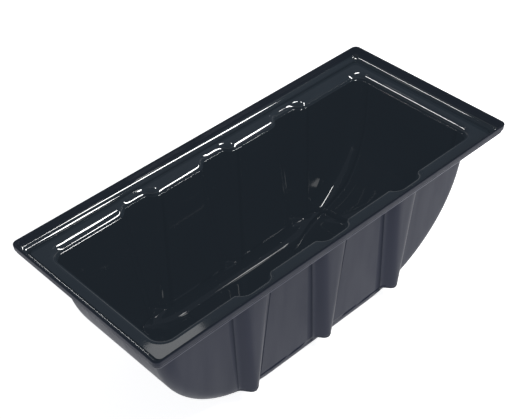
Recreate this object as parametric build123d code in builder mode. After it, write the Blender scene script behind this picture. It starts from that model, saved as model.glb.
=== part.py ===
"""Deep trough for a wide paint roller: one formed plastic sheet.

The real object is a single moulding. It is written here as its natural regions, which
meet face to face: lip, bend below it, ledge, floor, two rounded ends, six ribs, the flat
panels of the long walls beside the ribs, and the rounded edges and corners between them.

The origin is the centre of the floor's underside. +X is along the trough, +Z is up,
and the front is -Y. All sizes are in millimetres.
"""

import os
from math import cos, radians, sin, tan

from build123d import *

# ---- driving dimensions -------------------------------------------------------------

SHEET = 3.0                # thickness of the formed sheet

RIM_LENGTH = 610.0         # outer size over the lip
RIM_WIDTH = 277.0
RIM_CORNER = 8.0           # plan radius of the lip's corners
HEIGHT = 230.0             # floor underside to the lip's top edge
LIP_HEIGHT = 15.5          # ledge top to the lip's top edge
LIP_STEP_DROP = 8.0        # lip top down to the small step in its outer face
LIP_STEP = 1.0             # how far that step goes in
LIP_DRAFT = 4.0            # lean of the lip's upper band, degrees
LIP_LOWER_DRAFT = 12.0     # lean of the lip below the step, degrees
LIP_BEND = 9.5             # outer radius where the ledge turns up into the lip
LIP_SEAM = 14.5            # rim edge inwards to where the lip region ends
RIM_SEAM = 283.0           # middle to where the lip's long sides meet its short sides
LEDGE_SEAM = 240.0         # the same for the ledge, clear of the mouth's corners

FLOOR_FLAT = 179.0         # length of the flat floor
FLOOR_WIDTH = 181.5        # width at the floor, before its edges are rounded
WALL_DRAFT = 4.4           # lean of the long walls, degrees
END_RADIUS = 180.0         # outer radius of the rounded ends
END_DRAFT = 8.0            # lean of the ends above the round, degrees
BODY_FILLET = 19.0         # outer radius between the long walls and floor or ends

MOUTH_RADIUS = 9.0         # round edge where the ledge turns down into the trough
COLLAR = 10.0              # ledge top down to where the ledge region ends

RIB_PITCH = 133.5          # spacing of the three ribs on each long side
RIB_FOOT = 16.0            # height of the ribs' flat undersides
RIB_PROUD_TOP = 10.5       # how far a rib stands off its wall at the ledge
RIB_PROUD_FOOT = 13.0      # and at its foot
RIB_FACE_TOP = 40.0        # width of a rib's flat face at the ledge
RIB_FACE_FOOT = 9.0        # and at its foot
RIB_FLANK = 9.0            # sideways run of each sloping flank
RIB_ROUND = 5.0            # outer radius of a rib's edges
RIB_MARGIN = 2.5           # wall kept on each side of a rib in its own region

# ---- values worked out from them ----------------------------------------------------

LEDGE_TOP = HEIGHT - LIP_HEIGHT
LEDGE_UNDERSIDE = LEDGE_TOP - SHEET
LIP_STEP_HEIGHT = HEIGHT - LIP_STEP_DROP
LIP_BEND_TOP = LEDGE_UNDERSIDE + LIP_BEND * (1 - sin(radians(LIP_LOWER_DRAFT)))
COLLAR_BOTTOM = LEDGE_TOP - COLLAR
HALF_FLAT = FLOOR_FLAT / 2
HALF_FLOOR = FLOOR_WIDTH / 2
ARC_HEIGHT = END_RADIUS
WALL_SLOPE = tan(radians(WALL_DRAFT))
SEAM_FLOOR = HALF_FLOOR - BODY_FILLET
RIB_PLACES = {"left": -RIB_PITCH, "centre": 0.0, "right": RIB_PITCH}
RIB_ZONE_TOP = RIB_FACE_TOP + 2 * (RIB_FLANK + RIB_MARGIN)
RIB_ZONE_FOOT = RIB_FACE_FOOT + 2 * (RIB_FLANK + RIB_MARGIN)
RIB_ZONE_BOTTOM = RIB_FOOT - 0.5
FAR = 400.0                # larger than any half size of the trough
OVERSHOOT = 1.0            # how far a cutting block runs past what it cuts
SAME_HEIGHT = 0.01         # heights nearer than this count as equal

RIM_PLANS = {              # low and high x, low and high y of each side of the lip and its bend
    "front": (-RIM_SEAM, RIM_SEAM, -FAR, 0),
    "right": (RIM_SEAM, FAR),
    "back": (-RIM_SEAM, RIM_SEAM, 0, FAR),
    "left": (-FAR, -RIM_SEAM),
}
LEDGE_PLANS = {            # the same for the ledge, whose long sides are halved
    "front_left": (-LEDGE_SEAM, 0, -FAR, 0),
    "front_right": (0, LEDGE_SEAM, -FAR, 0),
    "right": (LEDGE_SEAM, FAR),
    "back_right": (0, LEDGE_SEAM, 0, FAR),
    "back_left": (-LEDGE_SEAM, 0, 0, FAR),
    "left": (-FAR, -LEDGE_SEAM),
}
PANEL_SPANS = {            # each panel's ends along the trough; the ribs are cut out later
    "outer_left": (-FAR, -RIB_PITCH),
    "inner_left": (-RIB_PITCH, 0),
    "inner_right": (0, RIB_PITCH),
    "outer_right": (RIB_PITCH, FAR),
}
EDGE_SPANS = {             # the same for the rounded edges below and beside the panels
    "left_corner": (-FAR, -HALF_FLAT),
    "floor_edge": (-HALF_FLAT, HALF_FLAT),
    "right_corner": (HALF_FLAT, FAR),
}


def wall_offset(height):
    """Distance from the middle plane to a long wall's outer face at a height."""
    return HALF_FLOOR + WALL_SLOPE * height


# ---- solids that the moulding is cut from -------------------------------------------


def barrel_block(inset, top):
    """Flat floor and rounded ends moved in by inset, filled, and run far past both walls."""
    radius = END_RADIUS - inset
    lean = radians(END_DRAFT)
    start_x = HALF_FLAT + radius * cos(lean)
    start_z = ARC_HEIGHT - radius * sin(lean)
    end_x = start_x + (top - start_z) * tan(lean)
    middle = radians(45)
    middle_x = HALF_FLAT + radius * sin(middle)
    middle_z = ARC_HEIGHT - radius * cos(middle)
    with BuildPart() as block:
        with BuildSketch(Plane.XZ):
            with BuildLine():
                Line((-HALF_FLAT, inset), (HALF_FLAT, inset))
                ThreePointArc((HALF_FLAT, inset), (middle_x, middle_z), (start_x, start_z))
                Line((start_x, start_z), (end_x, top))
                Line((end_x, top), (-end_x, top))
                Line((-end_x, top), (-start_x, start_z))
                ThreePointArc((-start_x, start_z), (-middle_x, middle_z), (-HALF_FLAT, inset))
            make_face()
        extrude(amount=FAR, both=True)
    return block.part


def basin_body(inset, top):
    """Trough without ribs, its skin moved in by inset, standing up to a height."""
    shift = inset / cos(radians(WALL_DRAFT))
    with BuildPart() as body:
        add(barrel_block(inset, top))
        with BuildSketch(Plane.YZ):
            with BuildLine():
                Polyline(
                    (-HALF_FLOOR + shift, 0),
                    (HALF_FLOOR - shift, 0),
                    (wall_offset(top) - shift, top),
                    (-wall_offset(top) + shift, top),
                    close=True,
                )
            make_face()
        extrude(amount=FAR, both=True, mode=Mode.INTERSECT)
        wall_edges = body.faces().sort_by(Axis.Y)[0].edges() + body.faces().sort_by(Axis.Y)[-1].edges()
        fillet(wall_edges.filter_by(lambda edge: edge.center().Z < top - OVERSHOOT), BODY_FILLET - inset)
    return body.part


def rib_body(inset, top):
    """One rib of the back wall at x = 0, run back into the trough to join it."""
    foot = RIB_FOOT + inset
    with BuildPart() as rib:
        for height in (foot, top):
            share = (height - RIB_FOOT) / (LEDGE_UNDERSIDE - RIB_FOOT)
            proud = RIB_PROUD_FOOT + share * (RIB_PROUD_TOP - RIB_PROUD_FOOT)
            half_face = (RIB_FACE_FOOT + share * (RIB_FACE_TOP - RIB_FACE_FOOT)) / 2
            wall = wall_offset(height)
            back = wall - RIB_PROUD_FOOT
            half_back = half_face + RIB_FLANK * (1 + RIB_PROUD_FOOT / proud)
            with BuildSketch(Plane.XY.offset(height)) as section:
                with BuildLine():
                    Polyline(
                        (-half_back, back),
                        (half_back, back),
                        (half_face, wall + proud),
                        (-half_face, wall + proud),
                        close=True,
                    )
                make_face()
                fillet(section.vertices().group_by(Axis.Y)[-1], RIB_ROUND)
                if inset > 0:
                    offset(amount=-inset, kind=Kind.INTERSECTION)
        loft(ruled=True)
        foot_edges = rib.faces().sort_by(Axis.Z)[0].edges()
        fillet(foot_edges.filter_by(lambda edge: edge.center().Y > back + OVERSHOOT), RIB_ROUND - inset)
    return rib.part


def rim_body(inset, bottom):
    """Block inside the lip's outer face, moved in by inset, down to the ledge."""
    band = HEIGHT - LIP_STEP_HEIGHT
    band_lean = band * tan(radians(LIP_DRAFT))
    step_length = RIM_LENGTH - 2 * (inset + band_lean)
    step_width = RIM_WIDTH - 2 * (inset + band_lean)
    corner = RIM_CORNER - band_lean - inset
    with BuildPart() as block:
        with BuildSketch(Plane.XY.offset(LIP_STEP_HEIGHT)):
            RectangleRounded(step_length, step_width, corner)
        extrude(amount=band, taper=-LIP_DRAFT)
        with BuildSketch(Plane.XY.offset(LIP_STEP_HEIGHT)):
            RectangleRounded(step_length - 2 * LIP_STEP, step_width - 2 * LIP_STEP, corner - LIP_STEP)
        extrude(amount=-(LIP_STEP_HEIGHT - bottom), taper=LIP_LOWER_DRAFT)
        fillet(block.faces().sort_by(Axis.Z)[0].edges(), LIP_BEND - inset)
    return block.part


# ---- the whole moulding -------------------------------------------------------------


def on_mouth(edge, height):
    """True for an edge of the trough's mouth that lies at a height."""
    middle = edge.center()
    inside_x = abs(middle.X) < RIM_LENGTH / 2 - LIP_SEAM
    inside_y = abs(middle.Y) < RIM_WIDTH / 2 - LIP_SEAM
    return inside_x and inside_y and abs(middle.Z - height) < SAME_HEIGHT


rib_outside = rib_body(0, LEDGE_UNDERSIDE)
rib_inside = rib_body(SHEET, LEDGE_TOP + OVERSHOOT)
rib_locations = [
    Location((place, 0, 0), (0, 0, turn)) for turn in (0, 180) for place in RIB_PLACES.values()
]

with BuildPart() as moulding:
    add(basin_body(0, LEDGE_UNDERSIDE))
    with Locations(rib_locations):
        add(rib_outside)
    add(rim_body(0, LEDGE_UNDERSIDE))
    add(rim_body(SHEET, LEDGE_TOP), mode=Mode.SUBTRACT)
    add(basin_body(SHEET, LEDGE_TOP + OVERSHOOT), mode=Mode.SUBTRACT)
    with Locations(rib_locations):
        add(rib_inside, mode=Mode.SUBTRACT)
    fillet(moulding.edges().filter_by(lambda edge: on_mouth(edge, LEDGE_TOP)), MOUTH_RADIUS)
    under_edges = moulding.edges().filter_by(lambda edge: on_mouth(edge, LEDGE_UNDERSIDE))
    fillet(under_edges, MOUTH_RADIUS - SHEET)

# ---- blocks that divide the moulding into its regions -------------------------------


def tall_block(low_x, high_x, low_y=-FAR, high_y=FAR):
    """Block over a rectangle of the plan, taller than the trough."""
    with BuildPart() as block:
        with BuildSketch(Plane.XY.offset(-OVERSHOOT)):
            with Locations(((low_x + high_x) / 2, (low_y + high_y) / 2)):
                Rectangle(high_x - low_x, high_y - low_y)
        extrude(amount=FAR)
    return block.part


with BuildPart() as inside_lip:
    with BuildSketch(Plane.XY.offset(-OVERSHOOT)):
        Rectangle(RIM_LENGTH - 2 * LIP_SEAM, RIM_WIDTH - 2 * LIP_SEAM)
    extrude(amount=FAR)

with BuildPart() as above_bend:
    with BuildSketch(Plane.XY.offset(LIP_BEND_TOP)):
        Rectangle(2 * FAR, 2 * FAR)
    extrude(amount=FAR)

with BuildPart() as below_collar:
    with BuildSketch(Plane.XY.offset(COLLAR_BOTTOM)):
        Rectangle(2 * FAR, 2 * FAR)
    extrude(amount=-FAR)

with BuildPart() as between_walls:
    with BuildSketch(Plane.YZ):
        with BuildLine():
            Polyline(
                (-SEAM_FLOOR + WALL_SLOPE * OVERSHOOT, -OVERSHOOT),
                (SEAM_FLOOR - WALL_SLOPE * OVERSHOOT, -OVERSHOOT),
                (SEAM_FLOOR + WALL_SLOPE * COLLAR_BOTTOM, COLLAR_BOTTOM),
                (-SEAM_FLOOR - WALL_SLOPE * COLLAR_BOTTOM, COLLAR_BOTTOM),
                close=True,
            )
        make_face()
    extrude(amount=FAR, both=True)

with BuildPart() as flat_walls:
    add(barrel_block(BODY_FILLET, COLLAR_BOTTOM))
    add(between_walls.part, mode=Mode.SUBTRACT)

with BuildPart() as rib_zone:
    with BuildSketch(Plane.XZ):
        with BuildLine():
            Polyline(
                (-RIB_ZONE_FOOT / 2, RIB_ZONE_BOTTOM),
                (RIB_ZONE_FOOT / 2, RIB_ZONE_BOTTOM),
                (RIB_ZONE_TOP / 2, COLLAR_BOTTOM),
                (-RIB_ZONE_TOP / 2, COLLAR_BOTTOM),
                close=True,
            )
        make_face()
    extrude(amount=-FAR)


def save(piece, node):
    """Label a finished piece and write its STEP file."""
    piece.part.label = node
    export_step(piece.part, f"parts/{node}.step")


# ---- rim, floor and ends, one node each ---------------------------------------------

os.makedirs("parts", exist_ok=True)

for side, plan in RIM_PLANS.items():
    with BuildPart() as lip:
        add(moulding.part)
        add(above_bend.part, mode=Mode.INTERSECT)
        add(tall_block(*plan), mode=Mode.INTERSECT)
    save(lip, f"{side}_lip")
    with BuildPart() as bend:
        add(moulding.part)
        add(inside_lip.part, mode=Mode.SUBTRACT)
        add(above_bend.part, mode=Mode.SUBTRACT)
        add(tall_block(*plan), mode=Mode.INTERSECT)
    save(bend, f"{side}_bend")

with BuildPart() as whole_ledge:
    add(moulding.part)
    add(inside_lip.part, mode=Mode.INTERSECT)
    add(below_collar.part, mode=Mode.SUBTRACT)
for side, plan in LEDGE_PLANS.items():
    with BuildPart() as ledge:
        add(whole_ledge.part)
        add(tall_block(*plan), mode=Mode.INTERSECT)
    save(ledge, f"{side}_ledge")

for node, span in (
    ("left_end", (-FAR, -HALF_FLAT)),
    ("floor", (-HALF_FLAT, HALF_FLAT)),
    ("right_end", (HALF_FLAT, FAR)),
):
    with BuildPart() as bottom:
        add(moulding.part)
        add(between_walls.part, mode=Mode.INTERSECT)
        add(tall_block(*span), mode=Mode.INTERSECT)
    save(bottom, node)

# ---- the long sides, one node for each panel, rounded edge and rib ------------------

for side, half, turn in (("front", (-FAR, 0), 180), ("back", (0, FAR), 0)):
    zones = [Location((place, 0, 0), (0, 0, turn)) for place in RIB_PLACES.values()]
    with BuildPart() as long_side:
        add(moulding.part)
        add(below_collar.part, mode=Mode.INTERSECT)
        add(between_walls.part, mode=Mode.SUBTRACT)
        add(tall_block(-FAR, FAR, *half), mode=Mode.INTERSECT)
        with Locations(zones):
            add(rib_zone.part, mode=Mode.SUBTRACT)
    for name, span in PANEL_SPANS.items():
        with BuildPart() as panel:
            add(long_side.part)
            add(flat_walls.part, mode=Mode.INTERSECT)
            add(tall_block(*span), mode=Mode.INTERSECT)
        save(panel, f"{side}_panel_{name}")
    for name, span in EDGE_SPANS.items():
        with BuildPart() as rounded_edge:
            add(long_side.part)
            add(flat_walls.part, mode=Mode.SUBTRACT)
            add(tall_block(*span), mode=Mode.INTERSECT)
        save(rounded_edge, f"{side}_{name}")
    for name, zone in zip(RIB_PLACES, zones):
        with BuildPart() as rib:
            add(moulding.part)
            add(between_walls.part, mode=Mode.SUBTRACT)
            with Locations(zone):
                add(rib_zone.part, mode=Mode.INTERSECT)
        save(rib, f"{side}_rib_{name}")
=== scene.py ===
"""Looks of the roller trough.

The formed sheet is rebuilt as one smooth double skin, worked out in loops from the lip down to
the floor, and then cut into regions that each stand for one or more nodes of the CAD model.
Lengths are in millimetres until a mesh is made. Camera, floor and lamps are in metres.
"""

from math import cos, hypot, pi, radians, sin, tan

import bpy
import numpy as np
from mathutils import Matrix, Vector


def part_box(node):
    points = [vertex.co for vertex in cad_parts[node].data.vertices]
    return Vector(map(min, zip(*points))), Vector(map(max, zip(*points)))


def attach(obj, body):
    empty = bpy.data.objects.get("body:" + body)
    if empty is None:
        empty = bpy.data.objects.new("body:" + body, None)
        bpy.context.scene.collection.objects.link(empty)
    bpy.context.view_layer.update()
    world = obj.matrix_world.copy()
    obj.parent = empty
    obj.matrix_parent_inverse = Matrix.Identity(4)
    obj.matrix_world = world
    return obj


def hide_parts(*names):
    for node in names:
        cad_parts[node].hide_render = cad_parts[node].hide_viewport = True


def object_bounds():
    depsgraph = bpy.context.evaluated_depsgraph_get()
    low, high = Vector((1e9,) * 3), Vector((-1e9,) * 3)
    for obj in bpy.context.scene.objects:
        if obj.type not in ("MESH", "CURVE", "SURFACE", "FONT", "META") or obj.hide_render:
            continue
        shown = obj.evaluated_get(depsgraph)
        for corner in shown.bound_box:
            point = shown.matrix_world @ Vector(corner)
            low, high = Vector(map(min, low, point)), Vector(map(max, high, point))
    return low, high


MM = 0.001

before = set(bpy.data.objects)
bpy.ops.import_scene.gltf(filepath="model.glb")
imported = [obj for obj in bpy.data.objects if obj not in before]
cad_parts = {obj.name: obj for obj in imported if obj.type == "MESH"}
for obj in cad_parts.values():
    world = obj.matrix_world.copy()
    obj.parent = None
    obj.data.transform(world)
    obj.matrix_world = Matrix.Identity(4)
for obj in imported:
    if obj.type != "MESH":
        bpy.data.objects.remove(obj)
cad_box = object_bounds()

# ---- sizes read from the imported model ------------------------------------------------


def node_box(node):
    """Lowest and highest corner of a CAD node, in millimetres."""
    low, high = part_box(node)
    return [v / MM for v in low], [v / MM for v in high]


ledge_low, ledge_high = node_box("front_left_ledge")
floor_high = node_box("floor")[1]
panel_high = node_box("back_panel_inner_left")[1]
rib_low = node_box("back_rib_centre")[0]
side_rib_low, side_rib_high = node_box("back_rib_right")

HALF_LENGTH, HALF_WIDTH, HEIGHT = [v / MM for v in cad_box[1]]
LEDGE_TOP = ledge_high[2]
COLLAR_BOTTOM = ledge_low[2]
LIP_SEAM = HALF_WIDTH + ledge_low[1]
HALF_FLAT = floor_high[0]
SHEET = floor_high[2]
LEDGE_UNDERSIDE = LEDGE_TOP - SHEET
RIB_NODE_DROP = 0.5           # how far a rib's node reaches below the rib itself
RIB_FOOT = rib_low[2] + RIB_NODE_DROP
RIB_PITCH = (side_rib_low[0] + side_rib_high[0]) / 2

# ---- shape of the formed sheet -------------------------------------------------------

RIM_CORNER = 8.0              # plan radius of the lip's corners
LIP_DRAFT = radians(4.0)
LIP_LOWER_DRAFT = radians(12.0)
LIP_STEP = 1.0                # how far the step in the lip's outer face goes in
LIP_STEP_TOP = HEIGHT - 7.1
LIP_STEP_FALL = 2.0
LIP_BEND = 9.5                # outer radius where the ledge turns up into the lip
BEND_STEPS = 14
LIP_EDGE_ROUND = 0.9
EDGE_TURNS = np.linspace(0, pi / 2, 5)[1:]

WALL_SLOPE = tan(radians(4.4))
HALF_FLOOR = panel_high[1] - WALL_SLOPE * COLLAR_BOTTOM
END_RADIUS = 180.0
END_DRAFT = radians(8.0)
BODY_FILLET = 19.0            # between the long walls and the floor or ends
MOUTH_RADIUS = 9.0            # round edge where the ledge turns down into the trough
UNDER_RADIUS = MOUTH_RADIUS - SHEET
MOUTH_TURNS = np.linspace(pi / 2, 0, 13)[:-1]

RIB_PLACES = (-RIB_PITCH, 0.0, RIB_PITCH)
RIB_PROUD_TOP = 10.5          # how far a rib stands off its wall at the ledge
RIB_PROUD_FOOT = 13.0         # and at its foot
RIB_HALF_TOP = 20.0           # half the width of a rib's flat face at the ledge
RIB_HALF_FOOT = 4.5           # and at its foot
RIB_FLANK = 9.0               # sideways run of each sloping flank
RIB_ROUND = 5.0               # radius of a rib's edges
RIB_JUNCTION = 2.0            # radius of the crease where a rib meets its wall


def round_max(a, b, radius):
    """Where two spaces overlap, with the edge between them rounded."""
    corner = np.hypot(np.maximum(a + radius, 0), np.maximum(b + radius, 0))
    return np.minimum(np.maximum(a, b), -radius) + corner


def round_min(a, b, radius):
    """Two spaces joined, with the crease between them rounded."""
    return -round_max(-a, -b, radius)


def wall_offset(z):
    """Distance from the middle plane to a long wall's outer face."""
    return HALF_FLOOR + WALL_SLOPE * z


def barrel(x, z):
    """Distance outside the flat floor and rounded ends."""
    out = np.maximum(np.abs(x) - HALF_FLAT, 0)
    up = END_RADIUS - z
    round_part = np.hypot(out, up) - END_RADIUS
    leaning = out * cos(END_DRAFT) + up * sin(END_DRAFT) - END_RADIUS
    above_round = out * sin(END_DRAFT) > up * cos(END_DRAFT)
    return np.where(above_round, leaning, round_part)


def body(x, y, z):
    """Distance outside the trough without its ribs."""
    wall = (np.abs(y) - wall_offset(z)) / hypot(1, WALL_SLOPE)
    return round_max(barrel(x, z), wall, BODY_FILLET)


def rib_share(z):
    """0 at the ribs' feet, 1 at the ledge."""
    return np.clip((z - RIB_FOOT) / (LEDGE_UNDERSIDE - RIB_FOOT), 0, 1)


def rib_half_face(z):
    """Half the width of a rib's flat face."""
    return RIB_HALF_FOOT + rib_share(z) * (RIB_HALF_TOP - RIB_HALF_FOOT)


def ribs(x, y, z):
    """Distance outside the nearest rib."""
    proud = RIB_PROUD_FOOT + rib_share(z) * (RIB_PROUD_TOP - RIB_PROUD_FOOT)
    across = np.min([np.abs(x - place) for place in RIB_PLACES], axis=0) - rib_half_face(z)
    face = np.abs(y) - wall_offset(z) - proud
    flank = (across * proud + face * RIB_FLANK) / np.hypot(proud, RIB_FLANK)
    return round_max(round_max(face, flank, RIB_ROUND), RIB_FOOT - z, RIB_ROUND)


def skin(x, y, z):
    """Distance outside the whole trough."""
    return round_min(body(x, y, z), ribs(x, y, z), RIB_JUNCTION)


CAST_HALVINGS = 34


def cast(field, x, y, turn, z, inset):
    """Distance along level rays from inside points to where a field's value is -inset."""
    near = np.zeros_like(x)
    far = np.full_like(x, 2 * END_RADIUS)
    for _ in range(CAST_HALVINGS):
        middle = (near + far) / 2
        outside = field(x + middle * np.cos(turn), y + middle * np.sin(turn), z) > -inset
        far = np.where(outside, middle, far)
        near = np.where(outside, near, middle)
    return (near + far) / 2


# ---- columns: the same places round every loop ---------------------------------------

END_STEPS = np.linspace(-1, 1, 21)
CORNER_TURNS = np.linspace(0, pi / 2, 14)[1:-1]
FACE_STEPS = np.array([0.0, 0.4, 0.8])          # share of the flat part of a rib's face
EDGE_STEPS = np.array([-3, -2, -1, 0, 1, 2, 3.2, 4.5, 6, 7.2, 8.4, 9.6, 10.8, 12, 14])
PANEL_COLUMNS = 7             # between two ribs
OUTER_COLUMNS = 10            # between an outer rib and the corner
CORNER_GAP = 4.0              # kept free of rib columns at each end of a wall


def wall_places(z, reach):
    """X places of a long wall's columns, packed closer at the ribs' edges."""
    half = rib_half_face(z)
    side = np.concatenate([(half + EDGE_STEPS[0]) * FACE_STEPS, half + EDGE_STEPS])
    rib = np.concatenate([-side[:0:-1], side])
    shrink = min(1.0, (reach - CORNER_GAP) / (RIB_PITCH + rib[-1]))
    groups = [(place + rib) * shrink for place in RIB_PLACES]
    places = [np.linspace(-reach, groups[0][0], OUTER_COLUMNS + 1)[:-1]]
    for left, right in zip(groups, groups[1:]):
        places.append(left)
        places.append(np.linspace(left[-1], right[0], PANEL_COLUMNS + 2)[1:-1])
    places.append(groups[-1])
    places.append(np.linspace(groups[-1][-1], reach, OUTER_COLUMNS + 1)[1:])
    return np.concatenate(places)


RIB_COLUMNS = 2 * (len(FACE_STEPS) + len(EDGE_STEPS)) - 1
WALL_COLUMNS = 2 * OUTER_COLUMNS + 2 * PANEL_COLUMNS + 3 * RIB_COLUMNS
END_COLUMNS = len(END_STEPS)
CORNER_COLUMNS = len(CORNER_TURNS)
COLUMNS = 2 * (END_COLUMNS + WALL_COLUMNS) + 4 * CORNER_COLUMNS


def around(end_x, corner_x, wall_x, end_y, corner_y, wall_y):
    """Joins quarter values into one loop, counter-clockwise from the right end."""
    x = [end_x, corner_x, wall_x[::-1], -corner_x[::-1], -end_x, -corner_x, wall_x, corner_x[::-1]]
    y = [end_y, corner_y, wall_y, corner_y[::-1], end_y[::-1], -corner_y, -wall_y, -corner_y[::-1]]
    return np.concatenate(x), np.concatenate(y)


def ray_turns():
    """Direction of each column's ray."""
    parts = [np.zeros(END_COLUMNS), CORNER_TURNS, np.full(WALL_COLUMNS, pi / 2), pi / 2 + CORNER_TURNS]
    half = np.concatenate(parts)
    return np.concatenate([half, half + pi])


TURNS = ray_turns()
FRAME_ROOM_LOW = 8.0          # from a level's rectangle out to the skin, at the ribs' feet and below
FRAME_ROOM_MORE = 12.0        # added to it over the first stretch above them
FRAME_ROOM_RISE = 40.0        # height of that stretch


def body_frame(z, inset):
    """Corner of the rectangle that a level's rays start from."""
    zero = np.zeros(1)
    reach_x = cast(body, zero + HALF_FLAT, zero, zero, z, inset)[0] + HALF_FLAT
    reach_y = cast(body, zero, zero + HALF_FLOOR / 2, zero + pi / 2, z, inset)[0] + HALF_FLOOR / 2
    share = min(max((z - RIB_FOOT) / FRAME_ROOM_RISE, 0), 1)
    room = FRAME_ROOM_LOW + FRAME_ROOM_MORE * share
    return reach_x - room, reach_y - room


def body_row(z, inset, push=0):
    """One loop of the trough's skin at a height, pushed outwards on the level."""
    start_x, start_y = body_frame(z, inset)
    corners = np.ones(CORNER_COLUMNS)
    ends = np.ones(END_COLUMNS)
    walls = np.ones(WALL_COLUMNS)
    x, y = around(
        start_x * ends, start_x * corners, wall_places(z, start_x),
        start_y * END_STEPS, start_y * corners, start_y * walls,
    )
    length = cast(skin, x, y, TURNS, z, inset - push)
    x_out = x + length * np.cos(TURNS)
    y_out = y + length * np.sin(TURNS)
    return np.stack([x_out, y_out, np.full(COLUMNS, z)], axis=1)


RIM_CORNER_LOSS = 0.125       # how fast the corner radius falls with the offset


def rim_row(offset, z):
    """One loop of the rim: a rounded rectangle, offset inwards from the lip's outer edge."""
    radius = RIM_CORNER - offset * RIM_CORNER_LOSS
    start_x, start_y = HALF_LENGTH - offset - radius, HALF_WIDTH - offset - radius
    top_reach = body_frame(LEDGE_UNDERSIDE, 0)[0]
    walls = wall_places(LEDGE_UNDERSIDE, top_reach) * start_x / top_reach
    x, y = around(
        np.full(END_COLUMNS, start_x + radius), start_x + radius * np.cos(CORNER_TURNS), walls,
        start_y * END_STEPS, start_y + radius * np.sin(CORNER_TURNS),
        np.full(WALL_COLUMNS, start_y + radius),
    )
    return np.stack([x, y, np.full(COLUMNS, z)], axis=1)


# ---- rows: outer and inner loops in pairs, from the lip's top down --------------------


def eased(share):
    """0..1 made to start and end gently."""
    return share * share * (3 - 2 * share)


def lip_section():
    """Offset, height and outward normal of the lip's middle line, from its top to the ledge."""
    middle = []
    bend_centre_z = LEDGE_UNDERSIDE + LIP_BEND
    bend_top = pi / 2 - LIP_LOWER_DRAFT
    middle_radius = LIP_BEND - SHEET / 2
    for z in (HEIGHT - LIP_EDGE_ROUND, HEIGHT - 2.5, HEIGHT - 4.5, HEIGHT - 6, LIP_STEP_TOP):
        middle.append((SHEET / 2 + (HEIGHT - z) * tan(LIP_DRAFT), z))
    step_offset = middle[-1][0]
    for share in (0.2, 0.4, 0.6, 0.8, 1.0):
        drop = share * LIP_STEP_FALL
        offset = step_offset + LIP_STEP * eased(share) + drop * tan(LIP_DRAFT)
        middle.append((offset, LIP_STEP_TOP - drop))
    low_offset, low_z = middle[-1]
    foot_z = bend_centre_z - middle_radius * cos(bend_top)
    foot_offset = low_offset + (low_z - foot_z) * tan(LIP_LOWER_DRAFT)
    centre_offset = foot_offset + middle_radius * sin(bend_top)
    for turn in np.linspace(bend_top, 0, BEND_STEPS):
        bend_offset = centre_offset - middle_radius * sin(turn)
        middle.append((bend_offset, bend_centre_z - middle_radius * cos(turn)))
    middle.append((LIP_SEAM, LEDGE_TOP - SHEET / 2))
    middle = np.array(middle)
    along = np.gradient(middle, axis=0)
    along[-1] = (1, 0)
    along[-2] = (1, 0)
    along /= np.linalg.norm(along, axis=1)[:, None]
    return middle, np.stack([along[:, 1], -along[:, 0]], axis=1)


def lip_rows():
    """Outer and inner loops of the lip and its bend."""
    middle, outward = lip_section()
    outer = [rim_row(offset, z) for offset, z in middle + outward * SHEET / 2]
    inner = [rim_row(offset, z) for offset, z in middle - outward * SHEET / 2]
    return outer, inner


def lip_edge_rows(outer, inner):
    """Loops over the lip's trimmed top edge, between its outer and inner faces."""
    rows = []
    for near, far, turns in ((outer, inner, EDGE_TURNS), (inner, outer, EDGE_TURNS[::-1])):
        for turn in turns:
            row = near + (far - near) * LIP_EDGE_ROUND * (1 - cos(turn)) / SHEET
            row[:, 2] = near[0, 2] + (HEIGHT - near[0, 2]) * sin(turn)
            rows.append(row)
    return rows


def mouth_rows(z, inset, radius):
    """Loops of the round edge between ledge and trough, from the ledge down."""
    rows = []
    for turn in MOUTH_TURNS:
        row = body_row(z, inset, radius * (1 - cos(turn)))
        rows.append(row + np.array([0, 0, radius * sin(turn)]))
    return rows


RIB_FOOT_STEPS = (5.5, 4.0, 2.8, 1.8, 1.0, 0.5, 0.15, -0.1, -RIB_NODE_DROP)
UPPER_ARC_TURNS = np.arange(79, 27, -3)         # degrees round the ends, above the ribs' feet
LOWER_ARC_TURNS = np.arange(23, 0.6, -1.6)      # and below them


def body_levels():
    """Heights of the outer skin's loops below the mouth, from the top down."""
    top = LEDGE_TOP - MOUTH_RADIUS
    round_top = END_RADIUS * (1 - sin(END_DRAFT))
    levels = [top, COLLAR_BOTTOM]
    levels += list(np.linspace(COLLAR_BOTTOM, round_top, 8)[1:])
    levels += [END_RADIUS * (1 - cos(radians(turn))) for turn in UPPER_ARC_TURNS]
    levels += [RIB_FOOT + step for step in RIB_FOOT_STEPS]
    levels += [END_RADIUS * (1 - cos(radians(turn))) for turn in LOWER_ARC_TURNS]
    return levels


LIFT_STARTS = 150.0           # inner loops lie level with their outer ones above this
LIFT_ENDS = 40.0              # and a whole sheet higher below this


def inner_level(z):
    """Height of the inner loop that pairs with an outer one."""
    share = (LIFT_STARTS - z) / (LIFT_STARTS - LIFT_ENDS)
    return z + SHEET * eased(min(max(share, 0), 1))


levels = body_levels()
outer_rows, inner_rows = lip_rows()
lip_edge = lip_edge_rows(outer_rows[0], inner_rows[0])
LIP_ROWS = len(outer_rows) - 1
BEND_ROW = LIP_ROWS - BEND_STEPS

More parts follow.
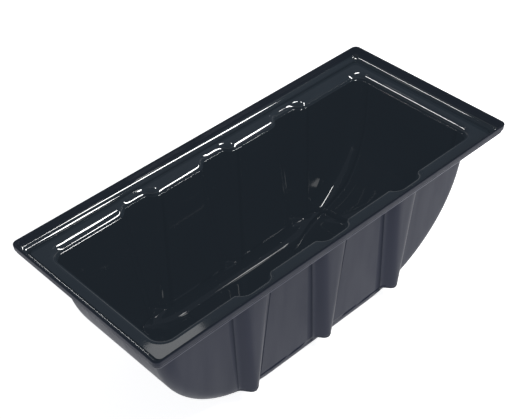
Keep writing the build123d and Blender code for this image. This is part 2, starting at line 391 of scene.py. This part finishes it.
body_outer = [body_row(z, 0) for z in levels]
body_inner = [body_row(inner_level(z), SHEET) for z in levels]
mouth_outer = mouth_rows(levels[0], 0, UNDER_RADIUS)
mouth_inner = mouth_rows(levels[0], SHEET, MOUTH_RADIUS)
LEDGE_STEPS = (0.2, 0.4, 0.6, 0.8, 0.93)
for step in LEDGE_STEPS:
    outer_rows.append(outer_rows[LIP_ROWS] * (1 - step) + mouth_outer[0] * step)
    inner_rows.append(inner_rows[LIP_ROWS] * (1 - step) + mouth_inner[0] * step)
outer_rows += mouth_outer + body_outer
inner_rows += mouth_inner + body_inner
LEDGE_ROWS = LIP_ROWS + len(LEDGE_STEPS) + len(mouth_outer) + 2
RIB_LAST_ROW = LEDGE_ROWS + sum(z >= RIB_FOOT - RIB_NODE_DROP for z in levels) - 2
BODY_ROWS = len(outer_rows) - 1
FLOOR_STEPS = (0.9, 0.75, 0.6, 0.45, 0.3)
for step in FLOOR_STEPS:
    outer_rows.append(outer_rows[BODY_ROWS] * np.array([step, step, 0]))
    inner_rows.append(inner_rows[BODY_ROWS] * np.array([step, step, 0]) + np.array([0, 0, SHEET]))
ROWS = len(outer_rows)

# ---- which region each cell of the grid belongs to -----------------------------------


def column_owners():
    """Wall or end of each column's cell, and the rib it lies in, if any."""
    groups = [None] * OUTER_COLUMNS
    for name in ("left", "centre", "right"):
        groups += [name] * (RIB_COLUMNS - 1)
        groups += [None] * (PANEL_COLUMNS + 1 if name != "right" else OUTER_COLUMNS)
    corner = [None] * (CORNER_COLUMNS + 1)
    owners = [("right_end", None)] * (END_COLUMNS - 1)
    owners += [("back_wall", None)] * len(corner)
    owners += [("back_wall", rib and "back_rib_" + rib) for rib in groups[::-1]]
    owners += [("back_wall", None)] * len(corner)
    owners += [("left_end", None)] * (END_COLUMNS - 1)
    owners += [("front_wall", None)] * len(corner)
    owners += [("front_wall", rib and "front_rib_" + rib) for rib in groups]
    owners += [("front_wall", None)] * len(corner)
    return owners


def cell_owner(row, column):
    """The region that a cell of the grid belongs to."""
    if row < BEND_ROW:
        return "rim_lip"
    if row < LIP_ROWS:
        return "rim_bend"
    if row < LEDGE_ROWS:
        return "rim_ledge"
    if row >= BODY_ROWS:
        return "floor"
    wall, rib = OWNERS[column]
    return rib if rib and row < RIB_LAST_ROW else wall


OWNERS = column_owners()

# ---- one list of points, and the faces of each region --------------------------------

points = np.concatenate(outer_rows + inner_rows + lip_edge)
INNER_START = ROWS * COLUMNS
EDGE_START = 2 * ROWS * COLUMNS


def outer_at(row, column):
    return row * COLUMNS + column % COLUMNS


def inner_at(row, column):
    return INNER_START + row * COLUMNS + column % COLUMNS


def edge_at(row, column):
    """A point of the lip's top edge; the first and last rows are the skins' own."""
    if row == 0:
        return outer_at(0, column)
    if row > len(lip_edge):
        return inner_at(0, column)
    return EDGE_START + (row - 1) * COLUMNS + column % COLUMNS


def corners_of(place, row, column):
    """The four points of a cell."""
    return [
        place(row, column),
        place(row, column + 1),
        place(row + 1, column + 1),
        place(row + 1, column),
    ]


SATIN, GLOSS, CUT = 0, 1, 2
faces = {}


def add_face(owner, kind, corners):
    """Gives a region one more face; its kind picks the material and shading."""
    faces.setdefault(owner, []).append((kind, corners))


def add_cells():
    """Both skins' faces, and the cut faces where two regions meet."""
    owner_of = [[cell_owner(row, column) for column in range(COLUMNS)] for row in range(ROWS - 1)]
    for row in range(ROWS - 1):
        for column in range(COLUMNS):
            owner = owner_of[row][column]
            outer = corners_of(outer_at, row, column)
            inner = corners_of(inner_at, row, column)
            add_face(owner, SATIN, outer[::-1])
            add_face(owner, SATIN if owner == "rim_lip" else GLOSS, inner)
            if row + 1 < ROWS - 1 and owner_of[row + 1][column] != owner:
                cut = (outer[2], outer[3], inner[3], inner[2])
                add_face(owner, CUT, cut[::-1])
                add_face(owner_of[row + 1][column], CUT, cut)
            beside = owner_of[row][(column + 1) % COLUMNS]
            if beside != owner:
                cut = (outer[1], outer[2], inner[2], inner[1])
                add_face(owner, CUT, cut[::-1])
                add_face(beside, CUT, cut)


def add_lip_edge():
    """Faces over the lip's trimmed top edge."""
    for row in range(len(lip_edge) + 1):
        for column in range(COLUMNS):
            add_face("rim_lip", SATIN, corners_of(edge_at, row, column))


def add_floor_middle():
    """One face inside the floor's last loop, on each skin."""
    add_face("floor", SATIN, [outer_at(ROWS - 1, column) for column in range(COLUMNS)][::-1])
    add_face("floor", GLOSS, [inner_at(ROWS - 1, column) for column in range(COLUMNS)])


add_cells()
add_lip_edge()
add_floor_middle()


def smooth_normals():
    """Point normals of the whole uncut skin, so that the regions shade as one sheet."""
    mesh = bpy.data.meshes.new("whole_skin")
    shown = [corners for region in faces.values() for kind, corners in region if kind != CUT]
    mesh.from_pydata(points, [], shown)
    directions = np.zeros(len(points) * 3)
    mesh.vertex_normals.foreach_get("vector", directions)
    bpy.data.meshes.remove(mesh)
    return directions.reshape(-1, 3)


normals = smooth_normals()

# ---- materials -----------------------------------------------------------------------


def new_material(name):
    """A node material, with its tree and its main shader."""
    material = bpy.data.materials.new(name)
    material.use_nodes = True
    tree = material.node_tree
    return material, tree, tree.nodes["Principled BSDF"]


def noise(tree, scale, detail, stretch=(1, 1, 1)):
    """Noise in the object's own space, stretched by axis."""
    place = tree.nodes.new("ShaderNodeTexCoord")
    mapping = tree.nodes.new("ShaderNodeMapping")
    mapping.inputs["Scale"].default_value = stretch
    texture = tree.nodes.new("ShaderNodeTexNoise")
    texture.inputs["Scale"].default_value = scale
    texture.inputs["Detail"].default_value = detail
    tree.links.new(place.outputs["Object"], mapping.inputs["Vector"])
    tree.links.new(mapping.outputs["Vector"], texture.inputs["Vector"])
    return texture.outputs["Fac"]


NOISE_SPAN = (0.3, 0.7)       # where nearly all of a noise texture's values lie


def mapped(tree, value, low, high):
    """A noise value spread over low..high."""
    node = tree.nodes.new("ShaderNodeMapRange")
    node.inputs["From Min"].default_value = NOISE_SPAN[0]
    node.inputs["From Max"].default_value = NOISE_SPAN[1]
    node.inputs["To Min"].default_value = low
    node.inputs["To Max"].default_value = high
    tree.links.new(value, node.inputs["Value"])
    return node.outputs["Result"]


def blend_colours(tree, value, dark, light):
    """A colour between two, picked by a value from 0 to 1."""
    node = tree.nodes.new("ShaderNodeMix")
    node.data_type = "RGBA"
    node.inputs["A"].default_value = (*dark, 1)
    node.inputs["B"].default_value = (*light, 1)
    tree.links.new(value, node.inputs["Factor"])
    return node.outputs["Result"]


def bump(tree, height, strength, distance, below=None):
    """A normal tilted by a height, on top of another bump if there is one."""
    node = tree.nodes.new("ShaderNodeBump")
    node.inputs["Strength"].default_value = strength
    node.inputs["Distance"].default_value = distance
    tree.links.new(height, node.inputs["Height"])
    if below is not None:
        tree.links.new(below, node.inputs["Normal"])
    return node.outputs["Normal"]


def gloss_material():
    """The inside: glossy near-black sheet with a faint blue-green cast."""
    material, tree, shader = new_material("gloss_sheet")
    shader.inputs["IOR"].default_value = 1.36
    clouds = mapped(tree, noise(tree, 9, 4), 0, 1)
    tint = blend_colours(tree, clouds, (0.0025, 0.0035, 0.0045), (0.0035, 0.0045, 0.0055))
    tree.links.new(tint, shader.inputs["Base Color"])
    tree.links.new(mapped(tree, noise(tree, 22, 5), 0.035, 0.06), shader.inputs["Roughness"])
    waves = bump(tree, noise(tree, 14, 1), 0.03, 0.0006)
    peel = bump(tree, noise(tree, 420, 2), 0.03, 0.0002, waves)
    tree.links.new(peel, shader.inputs["Normal"])
    return material


def satin_material():
    """The outside: satin dark grey with a faint violet cast and fine drawn streaks."""
    material, tree, shader = new_material("satin_sheet")
    shader.inputs["IOR"].default_value = 1.20
    shader.inputs["Specular Tint"].default_value = (0.80, 0.78, 1, 1)
    clouds = mapped(tree, noise(tree, 7, 5), 0, 1)
    tint = blend_colours(tree, clouds, (0.008, 0.008, 0.016), (0.011, 0.011, 0.021))
    tree.links.new(tint, shader.inputs["Base Color"])
    streaks = noise(tree, 60, 3, (1, 1, 0.12))
    tree.links.new(mapped(tree, streaks, 0.36, 0.46), shader.inputs["Roughness"])
    waves = bump(tree, noise(tree, 18, 1), 0.2, 0.0005)
    grain = bump(tree, noise(tree, 900, 2), 0.15, 0.0002, waves)
    tree.links.new(grain, shader.inputs["Normal"])
    return material


materials = [satin_material(), gloss_material()]

# ---- the regions as pieces -----------------------------------------------------------

RIM_SIDES = ("front", "right", "back", "left")
LEDGE_SIDES = ("front_left", "front_right", "right", "back_right", "back_left", "left")
WALL_NODES = (
    "panel_outer_left", "panel_inner_left", "panel_inner_right", "panel_outer_right",
    "left_corner", "floor_edge", "right_corner",
)


def nodes_of(region):
    """The CAD nodes that a region stands for."""
    if region == "rim_ledge":
        return [side + "_ledge" for side in LEDGE_SIDES]
    if region.startswith("rim_"):
        return [side + region.removeprefix("rim") for side in RIM_SIDES]
    if region.endswith("_wall"):
        return [region.removesuffix("wall") + part for part in WALL_NODES]
    return [region]


def region_mesh(region):
    """Mesh of one region, with the kind of each of its faces and the points that it uses."""
    kinds = [kind for kind, corners in faces[region]]
    used = np.unique(np.concatenate([corners for kind, corners in faces[region]]))
    local = np.full(len(points), -1)
    local[used] = np.arange(len(used))
    cells = [local[list(corners)].tolist() for kind, corners in faces[region]]
    mesh = bpy.data.meshes.new(region + "_skin")
    mesh.from_pydata(points[used] * MM, [], cells)
    for material in materials:
        mesh.materials.append(material)
    mesh.polygons.foreach_set("material_index", [1 if kind == GLOSS else 0 for kind in kinds])
    mesh.polygons.foreach_set("use_smooth", [True] * len(kinds))
    return mesh, kinds, used


def shade_as_whole(mesh, kinds, used):
    """Gives a region the whole skin's normals, and its cut faces their own."""
    loop_points = np.zeros(len(mesh.loops), dtype=int)
    mesh.loops.foreach_get("vertex_index", loop_points)
    loop_normals = normals[used[loop_points]]
    for polygon, kind in zip(mesh.polygons, kinds):
        if kind == CUT:
            loop_normals[polygon.loop_start:polygon.loop_start + polygon.loop_total] = polygon.normal
    mesh.normals_split_custom_set(loop_normals.tolist())


def make_piece(region):
    """A closed piece for one region, declared to the frame."""
    mesh, kinds, used = region_mesh(region)
    shade_as_whole(mesh, kinds, used)
    piece = bpy.data.objects.new(region + "_skin", mesh)
    bpy.context.scene.collection.objects.link(piece)
    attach(piece, "root")
    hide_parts(*nodes_of(region))
    return piece


pieces = {region: make_piece(region) for region in faces}
rim_pieces = [pieces["rim_bend"], pieces["rim_ledge"]]
inner_pieces = [piece for region, piece in pieces.items() if not region.startswith("rim")]

# ---- camera --------------------------------------------------------------------------

CAMERA_TURN = radians(-41.97)
CAMERA_RISE = radians(40.63)
CAMERA_ROLL = radians(-2.22)
CAMERA_DISTANCE = 1.4443
CAMERA_TARGET = Vector((-0.0493, -0.0320, cad_box[1][2]))
CAMERA_LENS = 80.7
VIEW_REACH = 50


def add_camera():
    """The photograph's camera, aimed at a point in the plane of the lip's top."""
    level_back = Vector((sin(CAMERA_TURN), -cos(CAMERA_TURN), 0))
    back = level_back * cos(CAMERA_RISE) + Vector((0, 0, sin(CAMERA_RISE)))
    right = Vector((0, 0, 1)).cross(back).normalized()
    up = back.cross(right)
    level = Matrix((right, up, back)).transposed().to_4x4()
    camera = bpy.data.objects.new("camera", bpy.data.cameras.new("camera"))
    camera.data.lens = CAMERA_LENS
    camera.data.clip_end = VIEW_REACH
    camera.matrix_world = (
        Matrix.Translation(CAMERA_TARGET + back * CAMERA_DISTANCE)
        @ level
        @ Matrix.Rotation(CAMERA_ROLL, 4, "Z")
    )
    bpy.context.scene.collection.objects.link(camera)
    bpy.context.scene.camera = camera


add_camera()

# ---- floor, backdrop and lights ------------------------------------------------------


STAGE_REACH = 6.0
STAGE_LEVEL = -0.0002         # just clear of the trough's underside


def add_floor():
    """A large pale sheet under the trough, with a slight texture of its own."""
    mesh = bpy.data.meshes.new("studio_floor")
    signs = ((-1, -1), (1, -1), (1, 1), (-1, 1))
    corners = [(x * STAGE_REACH, y * STAGE_REACH, STAGE_LEVEL) for x, y in signs]
    mesh.from_pydata(corners, [], [(0, 1, 2, 3)])
    material, tree, shader = new_material("pale_floor")
    clouds = mapped(tree, noise(tree, 3, 3), 0, 1)
    tint = blend_colours(tree, clouds, (0.80, 0.80, 0.80), (0.84, 0.84, 0.84))
    tree.links.new(tint, shader.inputs["Base Color"])
    shader.inputs["Roughness"].default_value = 0.9
    shader.inputs["Emission Color"].default_value = (1, 1, 1, 1)
    shader.inputs["Emission Strength"].default_value = 0.9
    mesh.materials.append(material)
    floor = bpy.data.objects.new("studio_floor", mesh)
    bpy.context.scene.collection.objects.link(floor)
    return floor


def add_strip(name, start, end, width, radiance, receivers):
    """A flat lamp from start to end that faces the trough, flagged off all but its receivers."""
    start, end = Vector(start), Vector(end)
    centre = (start + end) / 2
    along = (end - start).normalized()
    away = centre - Vector((0, 0, HEIGHT * MM))
    away = (away - along * away.dot(along)).normalized()
    length = (end - start).length
    light = bpy.data.lights.new(name, "AREA")
    light.shape = "RECTANGLE"
    light.size, light.size_y = width, length
    light.energy = radiance * pi * width * length
    lamp = bpy.data.objects.new(name, light)
    turn = Matrix((along.cross(away), along, away)).transposed().to_4x4()
    lamp.matrix_world = Matrix.Translation(centre) @ turn
    bpy.context.scene.collection.objects.link(lamp)
    lit = bpy.data.collections.new(name + "_receivers")
    for receiver in receivers:
        lit.objects.link(receiver)
    lamp.light_linking.receiver_collection = lit


def add_world():
    """Soft surroundings: bright at the horizon, dim overhead."""
    world = bpy.data.worlds.new("studio")
    bpy.context.scene.world = world
    world.use_nodes = True
    tree = world.node_tree
    place = tree.nodes.new("ShaderNodeTexCoord")
    split = tree.nodes.new("ShaderNodeSeparateXYZ")
    ramp = tree.nodes.new("ShaderNodeValToRGB")
    tree.links.new(place.outputs["Generated"], split.inputs["Vector"])
    tree.links.new(split.outputs["Z"], ramp.inputs["Fac"])
    tree.links.new(ramp.outputs["Color"], tree.nodes["Background"].inputs["Color"])
    ramp.color_ramp.elements[0].position = 0.1
    ramp.color_ramp.elements[0].color = (1, 1, 1, 1)
    ramp.color_ramp.elements[1].position = 0.3
    ramp.color_ramp.elements[1].color = (0.14, 0.15, 0.18, 1)


def lift_blacks():
    """The faint veil over the darkest tones, as in a printed photograph."""
    settings = bpy.context.scene.view_settings
    settings.view_transform = "Standard"
    settings.use_curve_mapping = True
    settings.curve_mapping.black_level = (-0.0115, -0.0155, -0.0205)
    settings.curve_mapping.update()


lift_blacks()
floor = add_floor()
add_world()
# The light lines along the back of the rim, the line at its right end, and its front left patch.
add_strip("front_window", (0.46, -1.77, 0.25), (1.19, -0.84, 1.62), 0.17, 110, rim_pieces)
add_strip("overhead_box", (0.50, -0.16, 2.08), (0.62, 0.50, 2.05), 0.20, 110, rim_pieces)
add_strip("left_box", (-0.46, 0.60, 1.24), (-0.46, 1.30, 1.24), 0.13, 70, rim_pieces)
add_strip("back_box", (0.22, 0.65, 1.23), (0.37, 0.65, 1.23), 0.08, 4, rim_pieces)
# The curved light line low inside the right end.
add_strip("inside_box", (0.95, -0.12, 1.85), (1.10, 0.12, 1.75), 0.16, 14, inner_pieces)
add_strip("corner_box", (-0.30, -0.86, 1.72), (-0.70, -1.23, 1.25), 0.14, 50, inner_pieces)
# A brighter floor at the front right, which lights the outside from below.
add_strip("right_bounce", (0.30, -0.55, 0.90), (0.80, -0.55, 0.90), 0.30, 20, [floor])
